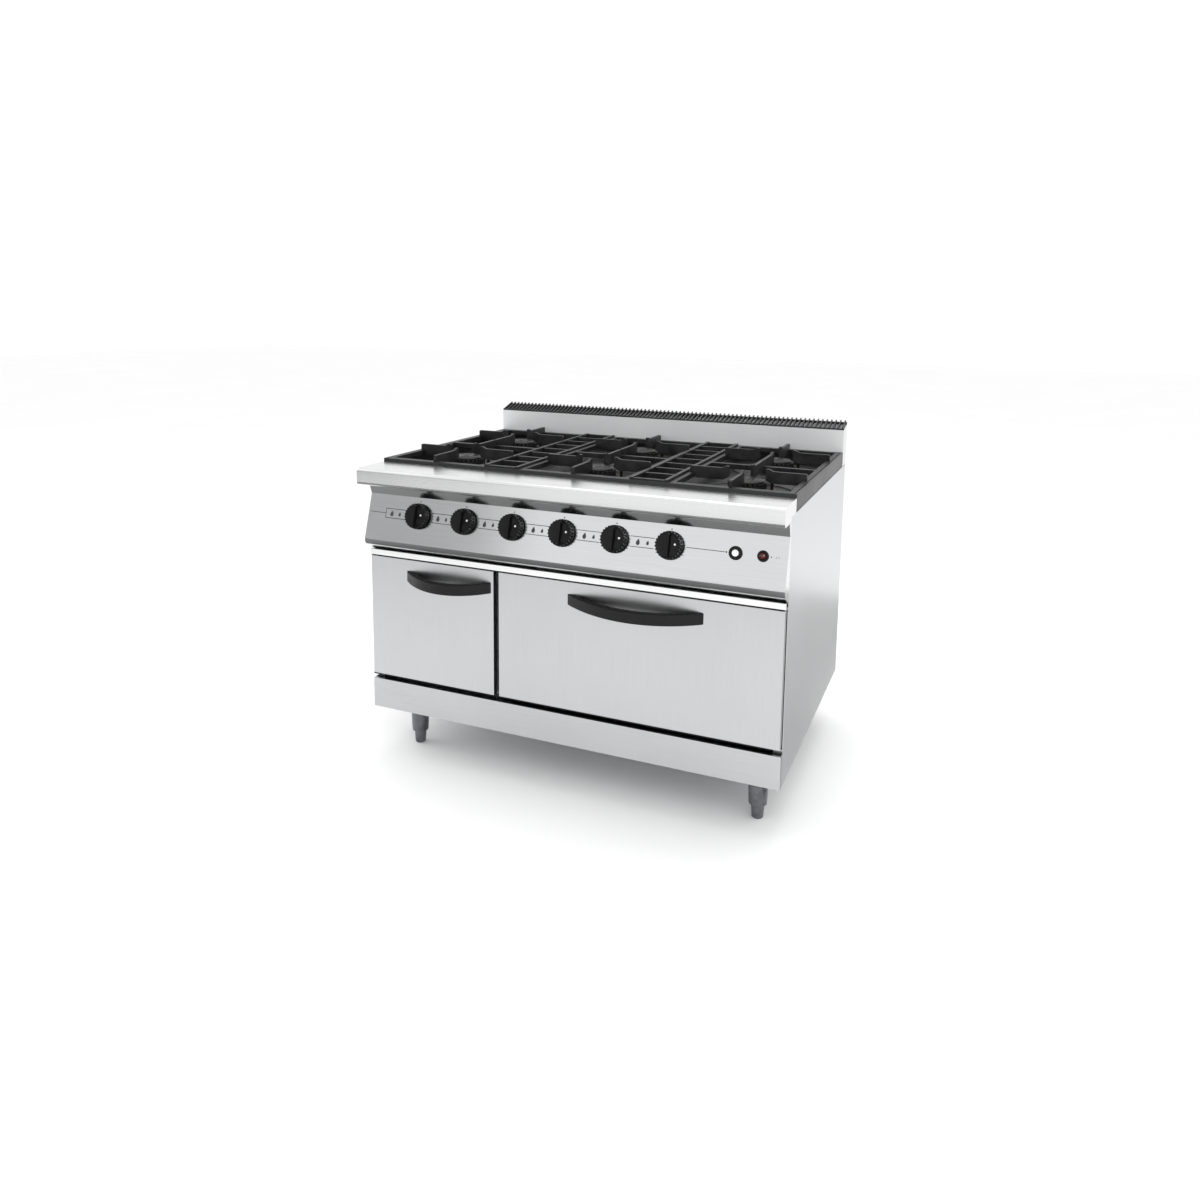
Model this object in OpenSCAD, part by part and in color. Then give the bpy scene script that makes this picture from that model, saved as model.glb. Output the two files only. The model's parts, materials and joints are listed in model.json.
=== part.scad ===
// Free-standing six-burner gas range with a side cabinet and a drop-down oven door.
// +X is to the right as seen from the front, +Y is to the back and +Z is up.
// The origin is on the floor, under the middle of the whole range.

/* [Overall size] */
// Width over the side panels
range_w = 1200; // [1190:1:1210]
// Depth from the front ledge to the back of the flue
range_d = 900; // [890:5:910]
// Height from the floor to the top of the flue grille
range_h = 970; // [966:1:974]
// How far the front ledge stands out over the doors
ledge_over = 54; // [50:1:58]

/* [Levels above the floor] */
// Height of the legs, and underside of the body
leg_h = 148; // [146:1:158]
// Top of the kick panel
kick_top = 235; // [230:1:235]
// Bottom edge of both doors
door_bottom = 252; // [252:1:254]
// Top edge of both doors
door_top = 604; // [602:1:604]
// Underside of the front ledge
ledge_bottom = 818; // [816:1:820]
// Top of the front ledge
ledge_top = 866; // [864:1:868]
// Top of the hob tray's rim
tray_top = 876; // [874:1:878]

/* [Doors] */
// Edge of the cabinet door next to the oven door
cabinet_door_right = -197; // [-202:1:-196]
// Edge of the oven door next to the cabinet door
oven_door_left = -181; // [-182:1:-178]
// Thickness of the cabinet door
cabinet_door_t = 20; // [18:1:20]
// Thickness of the oven door
oven_door_t = 50; // [48:1:50]
// Length of the cabinet door's handle
cabinet_handle_w = 272; // [240:2:276]
// Length of the oven door's handle
oven_handle_w = 372; // [340:2:390]
// How far a handle stands out from its door
handle_out = 53; // [44:1:54]
// How far the middle of a handle hangs below its ends
handle_sag = 7; // [2:1:10]

/* [Controls] */
// Distance between neighbouring knobs
knob_pitch = 147.5; // [142:0.5:149]
// Middle of the first knob, counted from the middle of the range
first_knob_x = -431; // [-433:1:-425]
// Width across a knob's skirt
knob_d = 72; // [64:1:74]
// How far a knob can be pushed in
knob_travel = 4; // [3:0.5:4]
// How far the ignition button can be pushed in
button_travel = 4; // [3:0.5:4]

/* [Hob] */
// Width of one cast grate
grate_w = 322; // [320:1:322]
// Width of one slatted strip between the grates
strip_w = 106; // [104:1:106]
// Height of the grate's finger tips above the tray's rim
finger_rise = 24; // [20:1:28]
// Number of slats in a strip
slats = 9; // [7:1:11]
// Distance between the fins of the flue grille
flue_pitch = 14; // [12:1:20]

/* [Hidden] */
$fn = 48;
e = 0.01;               // overlap that makes a cut run cleanly through a face

// Body. Y is counted from the plane of the doors' front faces.
half_w = range_w / 2;
back_y = range_d - ledge_over;
door_y = -range_d / 2 + ledge_over;
sheet_t = 1.5;
side_front_y = 22;
inner_x = half_w - sheet_t;
rear_y = back_y - 20;
ledge_front_gap = 0.3;
tray_front_y = ledge_front_gap + 73;
riser_y = back_y - 58;
tray_h = 46;
body_top = tray_top - tray_h;
pan_z = leg_h + 23;
frame_y = 24;
lower_rail_top = door_bottom - 5;
oven_front_y = oven_door_t + 2;
door_edge_x = half_w - 3;

// Control panel, whose face leans back towards the top
panel_bottom = 626;
face_low = [-24, 662];
face_high = [12.4, 784];
panel_tilt = atan2(face_high[0] - face_low[0], face_high[1] - face_low[1]);
bend_r = 20;
controls_z = 734;
button_x = 473;
lamp_x = 540;
stem_r = 4;
knob_gap = 5;
knob_h = 32;

// Oven cavity, inside the liner
oven_x0 = -150;
oven_x1 = 553;
oven_y0 = oven_front_y + 2;
oven_y1 = 700;
oven_z0 = 238;
oven_z1 = 565;
oven_floor_z = 290;
partition_x = -203;
rack_z = 390;
hinge_pin_r = 4;
pin_play = 0.05;
oven_hinge_y = 12;
oven_hinge_z = door_bottom + 10;
oven_hinge_x = [-140, 543];
cabinet_hinge_x = -half_w + 10;
cabinet_hinge_y = cabinet_door_t / 2;

// Hob
tray_wall = 5;
tray_floor = 2;
grate_gap = 2;
column_x = grate_w + strip_w + 2 * grate_gap;
grate_y0 = tray_front_y + tray_wall + 2;
grate_y1 = riser_y - ledge_front_gap - tray_wall - 2;
grate_d = grate_y1 - grate_y0;
burner_y = [grate_y0 + grate_d / 4, grate_y1 - grate_d / 4];
burner_spots = [for (x = [-column_x, 0, column_x]) for (y = burner_y) [x, y]];
tray_z = body_top + tray_floor;
burner_z = tray_z + 12;
grate_z = tray_top - 14;
cap_r = 46;
well_r = 125;
mix_z = 802;

// Legs
leg_x = 521;
leg_y = [120, 740];
leg_spots = [for (y = leg_y) for (x = [-leg_x, leg_x]) [x, y]];
foot_h = 26;

// Pipes
manifold_y = 72;
manifold_z = 706;
pipe_r = 12.2;
inlet_r = 13.2;         // 3/4 inch pipe thread
inlet_l = 16;
inlet_x = 545;

function unit(v) = v / norm(v);
function left_of(a, b) = let (d = unit(b - a)) [-d[1], d[0]];
function moved(pts, i, t) = let (
    p = max(i - 1, 0),
    q = min(i, len(pts) - 2),
    n = left_of(pts[q], pts[q + 1]),
    m = unit(left_of(pts[p], pts[p + 1]) + n)
) pts[i] + m * t / (m * n);
// Outline of a sheet of thickness t folded along pts, lying to the right of them
function folded(pts, t) = concat(pts, [for (i = [len(pts) - 1:-1:0]) moved(pts, i, -t)]);
function arc(c, r, a0, a1, n) = [for (i = [0:n]) c + r * [cos(a0 + (a1 - a0) * i / n), sin(a0 + (a1 - a0) * i / n)]];
function face_y(z) = face_low[0] + (z - face_low[1]) * tan(panel_tilt);
function knob_x(i) = first_knob_x + knob_pitch * (i - 1);

// Outside of the control panel, from its bottom edge to its top edge
bend_c = face_low + bend_r * [cos(panel_tilt), -sin(panel_tilt)];
bend_end = 240;
bend_last = bend_c + bend_r * [cos(bend_end), sin(bend_end)];
under_y = bend_last[0] + (bend_last[1] - panel_bottom) / tan(bend_end - 210);
panel_path = concat(
    [[side_front_y, panel_bottom], [under_y * 0.6, panel_bottom]],
    arc(bend_c, bend_r, bend_end, 180 - panel_tilt, 6),
    [face_high, [0, ledge_bottom - 0.5], [side_front_y, ledge_bottom - 0.5]]
);

// Outside of the front ledge, from under its front round to its back edge
ledge_r = 10;
ledge_path = concat(
    [[side_front_y, ledge_bottom]],
    arc([ledge_r - ledge_over, ledge_bottom + ledge_r], ledge_r, 270, 180, 5),
    arc([ledge_r - ledge_over, ledge_top - ledge_r], ledge_r, 180, 90, 5),
    [[tray_front_y - ledge_front_gap, ledge_top], [tray_front_y - ledge_front_gap, body_top]]
);

// Everything is drawn from the plane of the doors and set in its place here
module from_doors() translate([0, door_y, 0]) children();

// A profile drawn as [y, z], extruded across the range
module across(w) rotate([90, 0, 90]) linear_extrude(height = w, center = true) children();

// A box between two corners
module block(a, b) translate(a) cube(b - a);

// A round bar from a to b
module rod(a, b, r) {
    v = b - a;
    translate(a) rotate([0, acos(v[2] / norm(v)), atan2(v[1], v[0])]) cylinder(h = norm(v), r = r);
}

// A bent round bar through the points
module bent_rod(pts, r) {
    for (i = [0:len(pts) - 2]) rod(pts[i], pts[i + 1], r);
    for (i = [1:len(pts) - 2]) translate(pts[i]) sphere(r = r);
}

// Puts its children on the control panel's face, with their +Z pointing out of it
module on_panel(x, z = controls_z) translate([x, face_y(z), z]) rotate([90 - panel_tilt, 0, 0]) children();

// Cylinder between two heights
module drum(r, z0, z1) translate([0, 0, z0]) cylinder(h = z1 - z0, r = r);

module side_panel(side) {
    side_flange = 24;
    color("#b9bcc0") from_doors() mirror([side < 0 ? 1 : 0, 0, 0]) {
        block([inner_x, side_front_y, leg_h], [half_w, back_y, body_top]);
        block([half_w - side_flange, back_y - sheet_t, leg_h], [half_w, back_y, body_top]);
        block([half_w - 22, frame_y, body_top - sheet_t], [half_w, back_y, body_top]);
        block([half_w - side_flange, side_front_y + 0.2, leg_h + 2],
              [inner_x + 0.5, side_front_y + sheet_t, lower_rail_top - 1]);
    }
}

module side_panel_left() side_panel(-1);

module side_panel_right() side_panel(1);

module rear_panel() {
    vent_w = 90;
    color("#a9acb0") from_doors() difference() {
        block([-inner_x, rear_y, pan_z + 2], [inner_x, rear_y + sheet_t, body_top - 2]);
        for (x = [-450:150:450]) for (z = [640:24:736])
            if (x < 440) block([x - vent_w / 2, rear_y - 1, z], [x + vent_w / 2, rear_y + 3, z + 8]);
        translate([inlet_x, rear_y - 1, manifold_z]) rotate([-90, 0, 0]) cylinder(h = 4, r = inlet_r + 2);
    }
}

module base_frame() {
    gap = 0.3;
    rail = 40;
    color("#8f9296") from_doors() {
        block([-inner_x, frame_y, pan_z], [inner_x, rear_y + sheet_t, pan_z + 2]);
        for (y = [frame_y, rear_y - rail])
            block([-inner_x, y, leg_h + 2], [inner_x, y + rail, pan_z - gap]);
        for (s = [-1, 1])
            translate([s * (inner_x - rail / 2), frame_y + rail + gap, leg_h + 2])
                translate([-rail / 2, 0, 0]) cube([rail, rear_y - frame_y - 2 * rail - 2 * gap, 18]);
        for (p = leg_spots) translate([p[0] - 34, p[1] - 40, leg_h]) cube([68, 80, 2 - gap]);
    }
}

module kick_panel() {
    color("#c6c8cb") from_doors() {
        across(range_w) polygon(folded(
            [[side_front_y, leg_h], [2, leg_h], [2, kick_top], [9, kick_top]], sheet_t));
        for (s = [-1, 1]) translate([s * (half_w - sheet_t / 2), 0, 0])
            block([-sheet_t / 2, 2, leg_h], [sheet_t / 2, side_front_y, kick_top]);
    }
}

module partition_wall() {
    color("#85888c") from_doors() difference() {
        union() {
            block([partition_x, frame_y, pan_z + 2], [partition_x + sheet_t, rear_y, 604]);
            block([partition_x - 5, frame_y, 248], [partition_x + 6.5, frame_y + sheet_t, 604]);
        }
        rod([partition_x - 5, 100, 262], [partition_x + 5, 100, 262], 7);
        block([partition_x - 1, frame_y - 1, kick_top + 0.5],
              [partition_x + sheet_t + 1, oven_front_y + 2.5, lower_rail_top + 0.5]);
    }
}

module front_frame() {
    gap = 0.5;
    rail_top = 623;
    color("#3b3d40") from_doors() {
        block([-inner_x, frame_y, door_top + 1], [inner_x, oven_front_y + 2, rail_top]);
        block([-inner_x, frame_y, kick_top + 1], [inner_x, oven_front_y + 2, lower_rail_top]);
        block([partition_x + 7, oven_front_y, door_bottom - 4], [oven_x0 - gap, oven_front_y + 2, door_top]);
        block([oven_x1 + gap, oven_front_y, door_bottom - 4], [inner_x, oven_front_y + 2, door_top]);
        block([oven_x0, oven_front_y, oven_z1], [oven_x1, oven_front_y + 2, door_top]);
        block([oven_x0, oven_front_y, door_bottom - 4], [oven_x1, oven_front_y + 2, oven_floor_z]);
    }
}

module control_panel() {
    color("#c2c4c7") from_doors() difference() {
        union() {
            across(range_w) polygon(folded(panel_path, sheet_t));
            for (s = [-1, 1]) translate([s * (half_w - sheet_t / 2), 0, 0])
                across(sheet_t) polygon(panel_path);
        }
        for (i = [1:6]) on_panel(knob_x(i)) drum(stem_r + 4, -8, 8);
        on_panel(button_x) drum(12.5, -8, 8);
        on_panel(lamp_x) drum(9.5, -8, 8);
    }
}

module trim_strip() {
    low = 608.3;
    color("#d0d2d4") from_doors() across(range_w) polygon(folded(
        [[frame_y - 2, low], [-2, low], [-2, panel_bottom - 2], [frame_y - 2, panel_bottom - 2]], sheet_t));
}

module front_ledge() {
    color("#d4d6d8") from_doors() {
        across(range_w) polygon(folded(ledge_path, sheet_t));
        for (s = [-1, 1]) translate([s * (half_w - sheet_t / 2), 0, 0])
            across(sheet_t) polygon(concat(ledge_path, [[side_front_y + 1, body_top]]));
    }
}

module hob_tray() {
    rim_in = 10;
    y1 = riser_y - ledge_front_gap;
    color("#17181a") from_doors() difference() {
        union() {
            difference() {
                block([-half_w, tray_front_y, body_top], [half_w, y1, tray_top]);
                block([tray_wall - half_w, tray_front_y + tray_wall, tray_z],
                      [half_w - tray_wall, y1 - tray_wall, tray_top + 1]);
            }
            for (p = burner_spots) translate([p[0], p[1], 0]) rotate_extrude()
                polygon([[well_r - 5, tray_z - 1], [well_r + 5, tray_z - 1],
                         [well_r + 2, tray_z + 4], [well_r - 2, tray_z + 4]]);
        }
        for (p = burner_spots) translate([p[0], p[1], 0]) {
            drum(34, body_top - 1, tray_z + 1);
            for (a = [22.5, 67.5]) rotate(a) translate([66, 0, 0]) drum(6, body_top - 1, tray_z + 1);
        }
        for (s = [-1, 1]) translate([s * (half_w + 0.1), 0, 0])
            block([-2, tray_front_y - 1, body_top - 1], [2, y1 + 1, body_top + rim_in]);
    }
}

module flue_riser() {
    front_top = range_h - 25;
    back_top = range_h - 13;
    color("#c4c6c9") from_doors() {
        across(range_w) {
            polygon(folded([[riser_y + 14, body_top + sheet_t], [riser_y, body_top + sheet_t],
                            [riser_y, front_top]], sheet_t));
            polygon([[back_y - sheet_t, body_top], [back_y, body_top], [back_y, back_top],
                     [back_y - sheet_t, back_top]]);
        }
        for (s = [-1, 1]) translate([s * (half_w - sheet_t / 2), 0, 0]) across(sheet_t)
            polygon([[riser_y, body_top + sheet_t], [back_y, body_top + sheet_t], [back_y, back_top],
                     [riser_y, front_top]]);
    }
}

module flue_grille() {
    front_z = range_h - 24.5;
    rear_z = range_h - 12.5;
    bar = 4;
    count = floor((range_w - 2 * bar) / flue_pitch);
    first = -count * flue_pitch / 2;
    color("#1c1d1f") from_doors() {
        for (i = [0:count]) translate([first + i * flue_pitch, 0, 0]) across(bar)
            polygon([[riser_y, front_z], [back_y, rear_z], [back_y, range_h], [riser_y, front_z + 6]]);
        across(range_w) {
            polygon([[riser_y, front_z], [riser_y + bar, front_z + 1], [riser_y + bar, front_z + 5],
                     [riser_y, front_z + 4]]);
            polygon([[back_y - bar, rear_z - 0.8], [back_y, rear_z], [back_y, rear_z + 7],
                     [back_y - bar, rear_z + 6]]);
        }
    }
}

module burner_bodies() {
    tube_r = 16;
    wall = 4;
    color("#4a4845") from_doors() for (p = burner_spots) translate([p[0], p[1], 0]) difference() {
        union() {
            drum(30, mix_z - 22, burner_z + 4);
            drum(52, burner_z + 2, burner_z + 18);
            rod([0, -130, mix_z], [0, 0, mix_z], tube_r);
            rod([0, -130, mix_z], [0, -118, mix_z], tube_r + 4);
        }
        drum(30 - wall, mix_z - 18, burner_z + 30);
        drum(44, burner_z + 8, burner_z + 30);
        rod([0, -131, mix_z], [0, -20, mix_z], tube_r - wall);
        for (a = [0:15:345]) rotate(a) block([40, -2, burner_z + 12], [60, 2, burner_z + 19]);
    }
}

module burner_caps() {
    low = burner_z + 18;
    color("#2a2826") from_doors() for (p = burner_spots) translate([p[0], p[1], 0]) rotate_extrude()
        polygon([[0, low - 4], [40, low - 4], [43, low], [cap_r, low], [cap_r, low + 4], [cap_r - 6, low + 8],
                 [0, low + 9]]);
}

module pilot_burners() {
    color("#b08d57") from_doors() for (p = burner_spots) translate([p[0], p[1], 0]) {
        rotate(22.5) translate([66, 0, 0]) {
            drum(4, 806, burner_z + 14);
            drum(5, burner_z + 14, burner_z + 18);
        }
        rotate(67.5) translate([66, 0, 0]) drum(2.5, 806, burner_z + 20);
        rotate(22.5) translate([31, -6, 803]) cube([41, 12, 3]);
        rotate(67.5) translate([31, -6, 803]) cube([41, 12, 3]);
    }
}

// Pipe from a valve at x to the burner at spot p
module feed_pipe(x, p, turn_y) {
    start_z = controls_z + 9;
    bent_rod([[x, 26, start_z], [x, 26, mix_z], [x, turn_y, mix_z], [p[0], turn_y, mix_z], [p[0], p[1] - 134, mix_z]], 5);
}

module gas_pipework() {
    control_x = -232;
    color("#9a9c9e") from_doors() {
        bent_rod([[-520, manifold_y, manifold_z], [inlet_x, manifold_y, manifold_z],
                  [inlet_x, back_y - 4, manifold_z]], pipe_r);
        rod([inlet_x, back_y - inlet_l, manifold_z], [inlet_x, back_y, manifold_z], inlet_r);
        for (c = [0:2]) {
            feed_pipe(knob_x([1, 4, 6][c]) + 2, burner_spots[2 * c], 92);
            feed_pipe(knob_x([2, 3, 5][c]), burner_spots[2 * c + 1], 430);
        }
        rod([control_x, manifold_y, 591], [control_x, manifold_y, manifold_z - pipe_r + 2], 6);
        bent_rod([[control_x + 14, 100, 519], [control_x + 14, 100, 262], [oven_x0 + 70, 100, 262]], 5);
    }
}

module gas_valves() {
    color("#b9975b") from_doors() {
        difference() {
            for (i = [1:6]) on_panel(knob_x(i)) difference() {
                union() {
                    drum(12, -42, -10);
                    drum(7, -70, -42);
                    translate([-9, -9, -34]) cube([18, 24, 20]);
                }
                drum(stem_r + pin_play, -36, -9);
            }
            rod([-530, manifold_y, manifold_z], [530, manifold_y, manifold_z], pipe_r + pin_play);
        }
        difference() {
            block([-258, 62, 520], [-206, 118, 590]);
            rod([-232, 61, 556], [-232, 90, 556], 4 + pin_play);
        }
    }
}

module oven_liner() {
    t = sheet_t;
    color("#3a3c40") from_doors() difference() {
        block([oven_x0 - t, oven_y0 + e, oven_z0 - t], [oven_x1 + t, oven_y1 + t, oven_z1 + t]);
        block([oven_x0, oven_y0 - 1, oven_z0], [oven_x1, oven_y1, oven_z1]);
        rod([oven_x0 - 5, 100, 262], [oven_x0 + 5, 100, 262], 7);
    }
}

module oven_floor() {
    color("#303236") from_doors()
        block([oven_x0, oven_y0 + 4, oven_floor_z - 2], [oven_x1, oven_y1 - 20, oven_floor_z]);
}

module rack_runners() {
    color("#8f9296") from_doors() for (z = [rack_z - 60, rack_z, rack_z + 60, rack_z + 120]) {
        block([oven_x0, oven_y0 + 16, z - 3], [oven_x0 + 14, oven_y1 - 12, z]);
        block([oven_x1 - 14, oven_y0 + 16, z - 3], [oven_x1, oven_y1 - 12, z]);
    }
}

module oven_burner() {
    x0 = oven_x0 + 71;
    color("#6d6f72") from_doors()
        bent_rod([[x0, 100, 262], [x0 + 60, 100, 262], [x0 + 60, 600, 262], [x0 + 440, 600, 262],
                  [x0 + 440, 120, 262]], 12);
}

module oven_insulation() {
    t = sheet_t;
    y1 = oven_y1 + t;
    color("#d8cf9f") from_doors() {
        block([oven_x0 - t, oven_y0 + 4, oven_z1 + t + e], [oven_x1 + t, y1, door_top - 4]);
        block([oven_x1 + t + e, oven_y0 + 4, oven_z0], [inner_x - 1, y1, door_top - 4]);
        block([oven_x0 - 40, y1 + 1, oven_z0], [inner_x - 1, y1 + 50, door_top - 4]);
        difference() {
            block([partition_x + 8, oven_y0 + 4, oven_z0], [oven_x0 - t - e, y1, door_top - 4]);
            rod([-220, 100, 262], [oven_x0 + 5, 100, 262], 7);
        }
    }
}

module leg_sockets() {
    low = foot_h - 4;
    color("#a4a7aa") from_doors() for (p = leg_spots) translate([p[0], p[1], 0]) rotate_extrude()
        polygon([[8.05, low + 30], [8.05, leg_h - 10], [0, leg_h - 10], [0, leg_h], [34, leg_h],
                 [34, leg_h - 4], [27, leg_h - 8], [25.5, low + 42], [24, low + 18], [18.5, low + 16],
                 [18, low + 30]]);
}

// Foot that screws into its leg for levelling
module foot(i) {
    low = foot_h - 4;
    p = leg_spots[i];
    color("#8b8e92") from_doors() translate([p[0], p[1], 0]) rotate_extrude()
        polygon([[0, 0], [13, 0], [15.5, 3], [17.6, low + 10], [17.6, low + 29.7], [8, low + 29.7],
                 [8, leg_h - 40], [0, leg_h - 40]]);
}

module foot_front_left() foot(0);

module foot_front_right() foot(1);

module foot_rear_left() foot(2);

module foot_rear_right() foot(3);

module indicator_lamp() {
    color("#7a1512") from_doors() on_panel(lamp_x) {
        rotate_extrude() polygon([[0, 0.05], [14, 0.05], [14, 3], [12, 5], [9, 9], [5, 11], [0, 12]]);
        drum(9, -24, 1);
    }
}

module igniter_body() {
    color("#1d1e20") from_doors() on_panel(button_x) difference() {
        union() {
            rotate_extrude() polygon([[0, 0.05], [17, 0.05], [17, 3], [15, 5], [0, 5]]);
            drum(12, -46, 1);
        }
        drum(10, -30, 6);
    }
}

module ignition_button() {
    color("#d9dadb") from_doors() on_panel(button_x)
        rotate_extrude() polygon([[0, -24], [9.7, -24], [9.7, 7], [8.5, 8.5], [0, 9]]);
}

module hinge_brackets() {
    x = cabinet_hinge_x;
    color("#6e7073") from_doors() {
        // Cabinet door: a plate with a pin under the door and one above it
        block([-inner_x, 2, door_bottom - 5], [x + 14, oven_front_y, door_bottom - 1]);
        translate([x, cabinet_hinge_y, 0]) drum(hinge_pin_r, door_bottom - 2, door_bottom + 14);
        block([-inner_x, 2, door_top + 1], [x + 14, frame_y, door_top + 4]);
        translate([x, cabinet_hinge_y, 0]) drum(hinge_pin_r, door_top - 14, door_top + 2);
        // Oven door: an arm with a cross pin near each end
        for (hx = oven_hinge_x) translate([hx, 0, 0]) {
            block([-3, oven_hinge_y, oven_hinge_z - 6], [3, oven_front_y, oven_hinge_z + 6]);
            rod([-3, oven_hinge_y, oven_hinge_z], [3, oven_hinge_y, oven_hinge_z], 6);
            rod([-16, oven_hinge_y, oven_hinge_z], [16, oven_hinge_y, oven_hinge_z], hinge_pin_r);
        }
    }
}

module fasteners() {
    color("#77797c") from_doors() {
        for (x = [-570, -285, 0, 285, 570]) for (z = [220, 800])
            rod([x, rear_y + sheet_t, z], [x, rear_y + sheet_t + 2.5, z], 4.5);
    }
}

// Front pan of a door: a sheet folded back round all four edges
module door_pan(x0, x1, depth) {
    t = sheet_t;
    difference() {
        block([x0, 0, door_bottom], [x1, depth - t, door_top]);
        block([x0 + t, t, door_bottom + t], [x1 - t, depth, door_top - t]);
    }
}

module cabinet_door_skin() {
    color("#c9cbce") from_doors() difference() {
        door_pan(-door_edge_x, cabinet_door_right, cabinet_door_t);
        translate([cabinet_hinge_x, cabinet_hinge_y, 0]) drum(hinge_pin_r + 1, door_bottom - 1, door_top + 1);
    }
}

module cabinet_door_liner() {
    t = sheet_t;
    x = cabinet_hinge_x;
    color("#a6a9ad") from_doors() {
        block([-door_edge_x, cabinet_door_t - t, door_bottom], [cabinet_door_right, cabinet_door_t, door_top]);
        for (z = [door_bottom + t, door_top - t - 18]) difference() {
            block([-door_edge_x + t, t, z], [x + 10, cabinet_door_t - t, z + 18]);
            translate([x, cabinet_hinge_y, 0]) drum(hinge_pin_r + pin_play, z - 1, z + 19);
        }
    }
}

// Radius of an arc with a given chord and rise
function arc_r(chord, rise) = (pow(chord / 2, 2) + pow(rise, 2)) / (2 * rise);

// Bow handle: a crescent seen from above, its ends flat on the door and its middle hanging a little
module bow_handle(w) {
    h = 30;
    grip = 18;
    foot_w = 30;
    reach = handle_out - grip;
    r_out = arc_r(w, handle_out);
    r_in = arc_r(w - 2 * foot_w, reach);
    r_sag = arc_r(w, handle_sag);
    intersection() {
        linear_extrude(height = 3 * h, center = true) difference() {
            translate([0, r_out - handle_out]) circle(r = r_out, $fn = 180);
            translate([0, r_in - reach]) circle(r = r_in, $fn = 180);
            translate([-r_out - 1, 0]) square([2 * r_out + 2, 2 * r_out + 2]);
        }
        translate([0, 0, r_sag - handle_sag]) rotate([90, 0, 0])
            linear_extrude(height = 4 * handle_out, center = true) difference() {
                circle(r = r_sag + h / 2, $fn = 720);
                circle(r = r_sag - h / 2, $fn = 720);
                translate([-r_sag - h, 0]) square([2 * r_sag + 2 * h, r_sag + h]);
            }
    }
}

handle_z = 557;
cabinet_handle_x = -340;
oven_handle_x = 211;

module cabinet_door_handle() {
    color("#141516") from_doors() translate([cabinet_handle_x, 0, handle_z]) bow_handle(cabinet_handle_w);
}

module oven_door_handle() {
    color("#141516") from_doors() translate([oven_handle_x, 0, handle_z]) bow_handle(oven_handle_w);
}

// Room for a hinge arm, from the back and the bottom of the oven door
module hinge_notch() {
    for (hx = oven_hinge_x)
        block([hx - 5, 3, door_bottom - 1], [hx + 5, oven_door_t + 1, oven_hinge_z + 9]);
}

module oven_door_skin() {
    color("#c9cbce") from_doors() difference() {
        door_pan(oven_door_left, door_edge_x, oven_door_t);
        hinge_notch();
    }
}

module oven_door_liner() {
    t = sheet_t;
    color("#56585c") from_doors() difference() {
        union() {
            block([oven_door_left, oven_door_t - t, door_bottom], [door_edge_x, oven_door_t, door_top]);
            for (hx = oven_hinge_x)
                block([hx - 17, t, door_bottom + t], [hx + 17, oven_door_t - t, oven_hinge_z + 12]);
        }
        hinge_notch();
        for (hx = oven_hinge_x)
            rod([hx - 18, oven_hinge_y, oven_hinge_z], [hx + 18, oven_hinge_y, oven_hinge_z],
                hinge_pin_r + pin_play);
    }
}

module oven_door_insulation() {
    t = sheet_t;
    color("#d8cf9f") from_doors()
        block([oven_door_left + t, t + 1, oven_hinge_z + 14], [door_edge_x - t, oven_door_t - t - 1, door_top - t - 1]);
}

module oven_door_seal() {
    out = 8;
    color("#55534f") from_doors() difference() {
        block([oven_x0 - out - 6, oven_door_t, oven_floor_z - out - 6],
              [oven_x1 + out + 6, oven_front_y - 0.2, oven_z1 + out + 6]);
        block([oven_x0 - out + 4, oven_door_t - 1, oven_floor_z - out + 4],
              [oven_x1 + out - 4, oven_front_y + 1, oven_z1 + out - 4]);
    }
}

module oven_rack() {
    r = 4;
    wire = 2.5;
    x0 = oven_x0 + 6;
    x1 = oven_x1 - 6;
    y0 = 92;
    y1 = 670;
    z = rack_z + r + 0.3;
    color("#b4b7ba") from_doors() {
        bent_rod([[x0, y0, z], [x1, y0, z], [x1, y1, z], [x0, y1, z], [x0, y0, z]], r);
        translate([x0, y0, z]) sphere(r = r);
        for (x = [x0 + 30:46:x1 - 20]) rod([x, y0, z], [x, y1, z], wire);
    }
}

module oven_control_knob() {
    color("#141516") from_doors() translate([-232, 60, 556]) rotate([90, 0, 0]) {
        drum(4, -26, 4);
        drum(19, 1, 5);
        drum(16, 4, 22);
        translate([-3, -16, 20]) cube([6, 32, 5]);
    }
}

// Spindle of a gas valve, flat on one side where it carries its knob
module valve_stem(i) {
    top = knob_gap + 18;
    color("#c7c9cc") from_doors() on_panel(knob_x(i)) difference() {
        drum(stem_r, -34, top);
        block([stem_r - 1, -stem_r - 1, knob_gap - knob_travel - 1], [stem_r + 1, stem_r + 1, top + 1]);
    }
}

module valve_stem_1() valve_stem(1);

module valve_stem_2() valve_stem(2);

module valve_stem_3() valve_stem(3);

module valve_stem_4() valve_stem(4);

module valve_stem_5() valve_stem(5);

module valve_stem_6() valve_stem(6);

// Rim of a knob, its outline running in and out between two radii
function ribbed(r_in, r_out, n) = [for (k = [0:4 * n - 1])
    (k % 4 < 2 ? r_out : r_in) * [cos((k - 0.5) * 90 / n), sin((k - 0.5) * 90 / n)]];

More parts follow.
